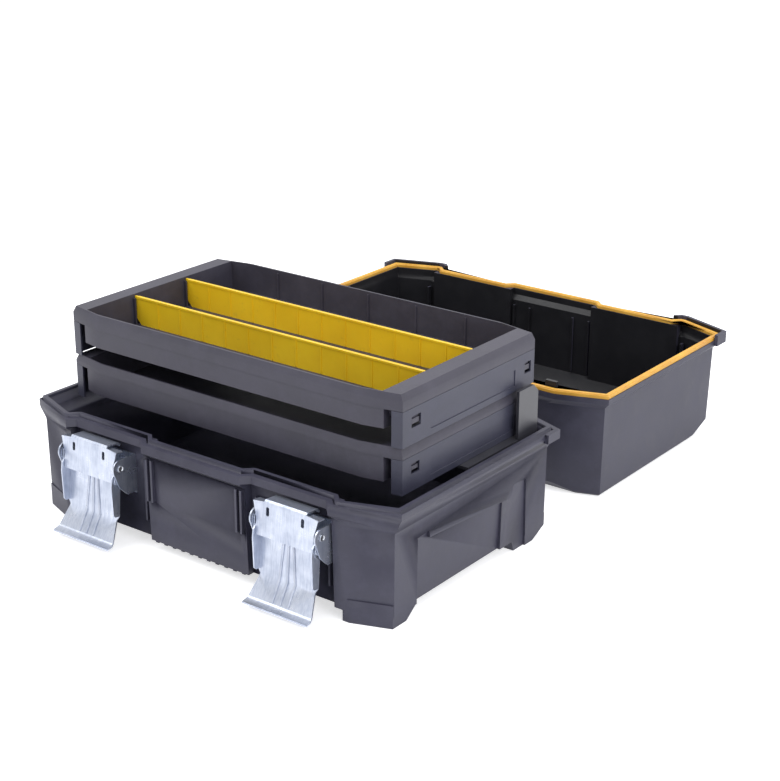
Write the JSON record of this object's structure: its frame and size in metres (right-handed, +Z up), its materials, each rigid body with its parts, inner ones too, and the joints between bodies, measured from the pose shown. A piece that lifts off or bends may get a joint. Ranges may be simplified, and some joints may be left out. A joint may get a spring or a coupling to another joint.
{
  "type": "cantilever tool box",
  "caption": "Moulded tool box with a deep bin, stacked trays on swinging side arms, lift-out dividers, a lid that opens half a turn and steel draw latches.",
  "frame": {"origin": "centre of the box's outline as it stands open, at the underside of its feet", "axes": "+Z up, +X to the right, the latches and the front of the bin face -Y, the open lid lies towards +Y"},
  "size_m": [0.4604, 0.666, 0.2065],
  "materials": {
    "black_plastic": "moulded grain",
    "lid_plastic": "moulded grain",
    "tray_plastic": "moulded grain",
    "cap_plastic": "moulded grain",
    "divider_plastic": "satin moulded",
    "seal_rubber": "soft bead",
    "black_steel": "black coated sheet",
    "pin_steel": "plain pin",
    "zinc_sheet": "zinc plated sheet",
    "tab_plastic": "satin"
  },
  "bodies": {
    "bin": {"base_bin": "black_plastic", "bracket_r": "black_steel", "bracket_l": "black_steel", "bracket_screws": "pin_steel", "arm_pins_base": "pin_steel", "hinge_pins": "pin_steel", "latch_bracket_r": "zinc_sheet", "latch_bracket_l": "zinc_sheet", "latch_rivets": "pin_steel", "latch_pins_base": "pin_steel"},
    "lid": {"lid_shell": "lid_plastic", "lid_seal": "seal_rubber", "lid_tabs": "tab_plastic"},
    "handle": {"carry_handle": "lid_plastic"},
    "lower_front_arms": {"arm_lower_fr": "black_steel", "arm_lower_fl": "black_steel"},
    "lower_rear_arms": {"arm_lower_rr": "black_steel", "arm_lower_rl": "black_steel"},
    "lower_tray": {"lower_tray": "tray_plastic", "lower_cap_r": "cap_plastic", "lower_cap_l": "cap_plastic", "arm_pins_lower": "pin_steel"},
    "upper_front_arms": {"arm_upper_fr": "black_steel", "arm_upper_fl": "black_steel"},
    "upper_rear_arms": {"arm_upper_rr": "black_steel", "arm_upper_rl": "black_steel"},
    "upper_tray": {"upper_tray": "tray_plastic", "upper_cap_r": "cap_plastic", "upper_cap_l": "cap_plastic", "arm_pins_upper": "pin_steel"},
    "divider_front": {"divider_front": "divider_plastic"},
    "divider_rear": {"divider_rear": "divider_plastic"},
    "latch_r_link": {"latch_link_r": "zinc_sheet"},
    "latch_l_link": {"latch_link_l": "zinc_sheet"},
    "latch_r_lever": {"latch_lever_r": "zinc_sheet", "latch_claw_r": "zinc_sheet", "latch_pins_lever_r": "pin_steel"},
    "latch_l_lever": {"latch_lever_l": "zinc_sheet", "latch_claw_l": "zinc_sheet", "latch_pins_lever_l": "pin_steel"}
  },
  "joints": [
    {"name": "lid_hinge", "type": "hinge", "parent": "bin", "child": "lid", "pos_m": [0, 0.01347, 0.1155], "axis": [1, 0, 0], "range_deg": [0, 180]},
    {"name": "handle_fold", "type": "hinge", "parent": "lid", "child": "handle", "pos_m": [0, 0.17777, 0.01], "axis": [-1, 0, 0], "range_deg": [0, 90]},
    {"name": "lower_lift", "type": "hinge", "parent": "bin", "child": "lower_front_arms", "pos_m": [0, -0.15733, 0.1422], "axis": [1, 0, 0], "range_deg": [-120, 0]},
    {"name": "lower_level", "type": "hinge", "parent": "lower_front_arms", "child": "lower_tray", "pos_m": [0, -0.24033, 0.1422], "axis": [1, 0, 0], "range_deg": [0, 120]},
    {"name": "lower_rear", "type": "hinge", "parent": "bin", "child": "lower_rear_arms", "pos_m": [0, -0.05933, 0.1422], "axis": [1, 0, 0], "range_deg": [-120, 0]},
    {"name": "upper_lift", "type": "hinge", "parent": "lower_tray", "child": "upper_front_arms", "pos_m": [0, -0.15733, 0.1848], "axis": [1, 0, 0], "range_deg": [-120, 0]},
    {"name": "upper_level", "type": "hinge", "parent": "upper_front_arms", "child": "upper_tray", "pos_m": [0, -0.24033, 0.1848], "axis": [1, 0, 0], "range_deg": [0, 120]},
    {"name": "upper_rear", "type": "hinge", "parent": "lower_tray", "child": "upper_rear_arms", "pos_m": [0, -0.05933, 0.1848], "axis": [1, 0, 0], "range_deg": [-120, 0]},
    {"name": "divider_front_lift", "type": "slide", "parent": "upper_tray", "child": "divider_front", "axis": [0, 0, -1], "range_m": [-0.032, 0]},
    {"name": "divider_rear_lift", "type": "slide", "parent": "upper_tray", "child": "divider_rear", "axis": [0, 0, -1], "range_m": [-0.032, 0]},
    {"name": "latch_r_turn", "type": "hinge", "parent": "bin", "child": "latch_r_link", "pos_m": [0.123, -0.31083, 0.083], "axis": [-1, 0, 0], "range_deg": [0, 178]},
    {"name": "latch_r_level", "type": "hinge", "parent": "latch_r_link", "child": "latch_r_lever", "pos_m": [0.123, -0.31291, 0.07118], "axis": [-1, 0, 0], "range_deg": [-183.01, 0]},
    {"name": "latch_l_turn", "type": "hinge", "parent": "bin", "child": "latch_l_link", "pos_m": [-0.123, -0.31083, 0.083], "axis": [-1, 0, 0], "range_deg": [0, 178]},
    {"name": "latch_l_level", "type": "hinge", "parent": "latch_l_link", "child": "latch_l_lever", "pos_m": [-0.123, -0.31291, 0.07118], "axis": [-1, 0, 0], "range_deg": [-183.01, 0]}
  ],
  "couplings": [
    {"joint": "lower_level", "follows": "lower_lift", "ratio": -1},
    {"joint": "lower_rear", "follows": "lower_lift", "ratio": 1},
    {"joint": "upper_level", "follows": "upper_lift", "ratio": -1},
    {"joint": "upper_rear", "follows": "upper_lift", "ratio": 1},
    {"joint": "latch_r_level", "follows": "latch_r_turn", "ratio": -1.0281},
    {"joint": "latch_l_level", "follows": "latch_l_turn", "ratio": -1.0281}
  ]
}
